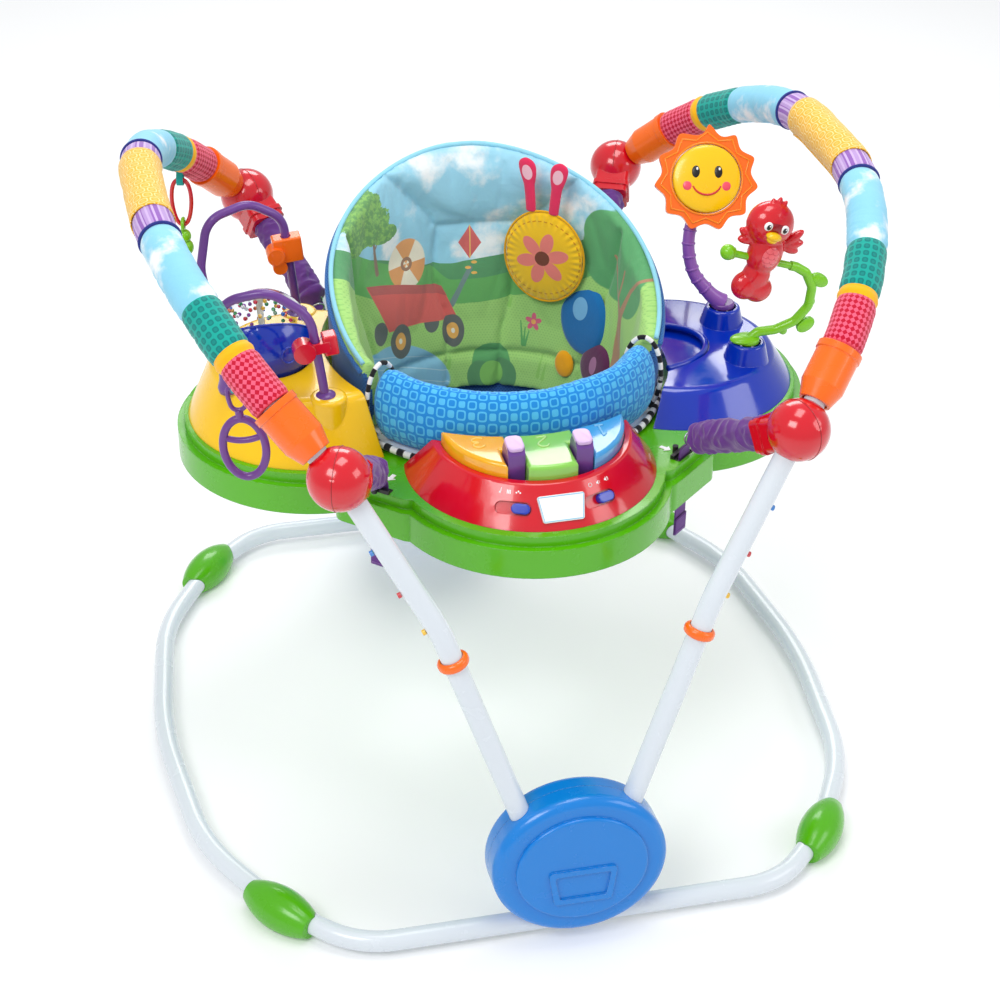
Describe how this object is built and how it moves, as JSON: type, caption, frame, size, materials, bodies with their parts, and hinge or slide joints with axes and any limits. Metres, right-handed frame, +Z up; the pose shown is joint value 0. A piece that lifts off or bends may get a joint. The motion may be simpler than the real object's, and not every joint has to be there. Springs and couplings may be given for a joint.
{
  "type": "activity jumper",
  "caption": "Baby activity jumper: padded spinning fabric seat in a sprung toy tray, hung between leaning padded arches on a low steel tube base with moulded feet.",
  "frame": {"origin": "on the floor under the middle of the seat", "axes": "+X is to the right for someone facing the piano side, +Y points to the rear, away from the piano, +Z is up"},
  "size_m": [0.9114, 0.979, 0.8155],
  "materials": {
    "white_powder_coat": "smooth white powder coat on steel tube",
    "green_gloss": "glossy lime green moulding",
    "blue_gloss": "glossy bright blue moulding",
    "royal_gloss": "very glossy royal blue moulding",
    "red_gloss": "glossy red moulding",
    "orange_gloss": "glossy orange moulding",
    "yellow_gloss": "glossy yellow moulding",
    "purple_gloss": "satin purple moulding",
    "white_plastic": "satin white plastic",
    "black_plastic": "matt black plastic",
    "clear_plastic": "clear moulded plastic",
    "key_orange": "translucent orange moulding",
    "key_green": "translucent green moulding",
    "key_blue": "translucent blue moulding",
    "arch_fabric": "printed padded cotton in coloured bands",
    "seat_fabric": "printed quilted fabric",
    "bumper_fabric": "blue printed padded fabric",
    "sling_fabric": "dark blue coarse fabric",
    "plush_fabric": "soft short pile plush",
    "purple_fabric": "gathered purple fabric",
    "purple_webbing": "woven purple strap",
    "spring_steel": "zinc plated spring wire",
    "board": "green circuit board",
    "teether_purple": "soft glossy purple elastomer",
    "orange_clip": "glossy orange moulding"
  },
  "bodies": {
    "frame": {"base_rail_front": "white_powder_coat", "base_rail_rear": "white_powder_coat", "base_rail_left": "white_powder_coat", "base_rail_right": "white_powder_coat", "floor_feet": "green_gloss", "hub_outer_shells": "blue_gloss", "hub_inner_shells": "blue_gloss", "lower_legs": "white_powder_coat", "upper_legs": "white_powder_coat", "leg_collars": "orange_gloss", "leg_pegs": "blue_gloss", "corner_balls": "red_gloss", "arch_tube_left": "white_powder_coat", "arch_tube_right": "white_powder_coat", "arch_cover_left": "arch_fabric", "arch_cover_right": "arch_fabric", "arch_sleeves": "orange_gloss", "spring_covers": "purple_fabric", "bounce_springs": "spring_steel"},
    "tray": {"tray_top": "green_gloss", "tray_underside": "green_gloss", "battery_door": "green_gloss", "strap_hooks": "black_plastic", "strap_tails": "purple_webbing", "seat_track": "white_plastic", "piano_housing": "red_gloss", "piano_badge": "white_plastic", "circuit_board": "board", "speaker": "black_plastic", "bead_station": "yellow_gloss", "bead_loop_front": "purple_gloss", "bead_loop_rear": "purple_gloss", "sun_station": "royal_gloss"},
    "seat": {"seat_ring": "white_plastic", "seat_sling": "sling_fabric", "seat_pad": "seat_fabric", "seat_bumper": "bumper_fabric", "plush_head": "plush_fabric"},
    "key_left": {"key_left": "key_orange"},
    "key_middle": {"key_middle": "key_green"},
    "key_right": {"key_right": "key_blue"},
    "lever_left": {"lever_left": "purple_gloss"},
    "lever_right": {"lever_right": "purple_gloss"},
    "mode_switch": {"mode_switch": "royal_gloss"},
    "volume_switch": {"volume_switch": "royal_gloss"},
    "slider_red": {"slider_red": "red_gloss"},
    "slider_orange": {"slider_orange": "orange_clip"},
    "bird": {"bird": "red_gloss"},
    "teether": {"teether": "teether_purple"},
    "link_red": {"link_red": "red_gloss"},
    "pod_green": {"pod_green": "green_gloss"},
    "link_yellow": {"link_yellow": "yellow_gloss"},
    "loop_green": {"loop_green": "green_gloss"},
    "globe": {"globe_base": "royal_gloss", "globe_dome": "clear_plastic"},
    "sun_toy": {"sun_stalk": "purple_gloss", "sun_ring": "orange_gloss", "sun_face": "yellow_gloss"},
    "vine_toy": {"vine_stalk": "green_gloss"}
  },
  "joints": [
    {"name": "tray_bounce", "type": "slide", "parent": "frame", "child": "tray", "axis": [0, 0, 1], "range_m": [-0.08, 0.04], "stiffness_N_per_m": 1500, "springref_m": 0.0506, "deforming": ["spring_covers", "bounce_springs"]},
    {"name": "seat_swivel", "type": "hinge", "parent": "tray", "child": "seat", "pos_m": [0, 0, 0.48], "axis": [0, 0, 1], "continuous": true},
    {"name": "key_left_press", "type": "slide", "parent": "tray", "child": "key_left", "axis": [0, 0, -1], "range_m": [0, 0.0035], "stiffness_N_per_m": 400, "springref_m": -0.0025},
    {"name": "key_middle_press", "type": "slide", "parent": "tray", "child": "key_middle", "axis": [0, 0, -1], "range_m": [0, 0.0035], "stiffness_N_per_m": 400, "springref_m": -0.0025},
    {"name": "key_right_press", "type": "slide", "parent": "tray", "child": "key_right", "axis": [0, 0, -1], "range_m": [0, 0.0035], "stiffness_N_per_m": 400, "springref_m": -0.0025},
    {"name": "lever_left_press", "type": "hinge", "parent": "tray", "child": "lever_left", "pos_m": [-0.04, -0.2505, 0.52], "axis": [1, 0, 0], "range_deg": [0, 6], "stiffness_Nm_per_rad": 1.2, "springref_deg": -1.72},
    {"name": "lever_right_press", "type": "hinge", "parent": "tray", "child": "lever_right", "pos_m": [0.04, -0.2505, 0.52], "axis": [1, 0, 0], "range_deg": [0, 6], "stiffness_Nm_per_rad": 1.2, "springref_deg": -1.72},
    {"name": "mode_switch_slide", "type": "slide", "parent": "tray", "child": "mode_switch", "axis": [0.9239, -0.3827, 0], "range_m": [-0.018, 0.001]},
    {"name": "volume_switch_slide", "type": "slide", "parent": "tray", "child": "volume_switch", "axis": [0.9239, 0.3827, 0], "range_m": [-0.016, 0.003]},
    {"name": "globe_spin", "type": "hinge", "parent": "tray", "child": "globe", "pos_m": [-0.288, 0, 0.592], "axis": [0, 0, 1], "continuous": true},
    {"name": "slider_red_slide", "type": "slide", "parent": "tray", "child": "slider_red", "axis": [-0.1351, 0.0263, 0.9905], "range_m": [-0.045, 0.004]},
    {"name": "slider_orange_slide", "type": "slide", "parent": "tray", "child": "slider_orange", "axis": [-0.1117, -0.0496, 0.9925], "range_m": [-0.055, 0.004]},
    {"name": "sun_rock", "type": "hinge", "parent": "tray", "child": "sun_toy", "pos_m": [0.31, 0.042, 0.552], "axis": [1, 0, 0], "range_deg": [-5, 5], "stiffness_Nm_per_rad": 4, "springref_deg": 0.87},
    {"name": "vine_rock", "type": "hinge", "parent": "tray", "child": "vine_toy", "pos_m": [0.31, -0.057, 0.552], "axis": [1, 0, 0], "range_deg": [-5, 5], "stiffness_Nm_per_rad": 4, "springref_deg": -0.43},
    {"name": "bird_spin", "type": "hinge", "parent": "vine_toy", "child": "bird", "pos_m": [0.314, -0.075, 0.675], "axis": [0.9542, 0, -0.2991], "continuous": true},
    {"name": "teether_swing", "type": "hinge", "parent": "frame", "child": "teether", "pos_m": [-0.35327, -0.27894, 0.68368], "axis": [0.97, -0.243, 0], "range_deg": [-20, 20]},
    {"name": "link_red_swing", "type": "hinge", "parent": "frame", "child": "link_red", "pos_m": [-0.35327, 0.27894, 0.68368], "axis": [0.97, -0.243, 0], "range_deg": [-20, 20]},
    {"name": "link_yellow_swing", "type": "hinge", "parent": "frame", "child": "link_yellow", "pos_m": [0.35327, 0.27894, 0.68368], "axis": [0.97, -0.243, 0], "range_deg": [-20, 20]},
    {"name": "loop_green_swing", "type": "hinge", "parent": "frame", "child": "loop_green", "pos_m": [0.35327, -0.27894, 0.68368], "axis": [0.97, -0.243, 0], "range_deg": [-20, 20]},
    {"name": "pod_swing", "type": "hinge", "parent": "link_red", "child": "pod_green", "pos_m": [-0.35327, 0.27894, 0.62168], "axis": [0.97, -0.243, 0], "range_deg": [-20, 20]}
  ]
}
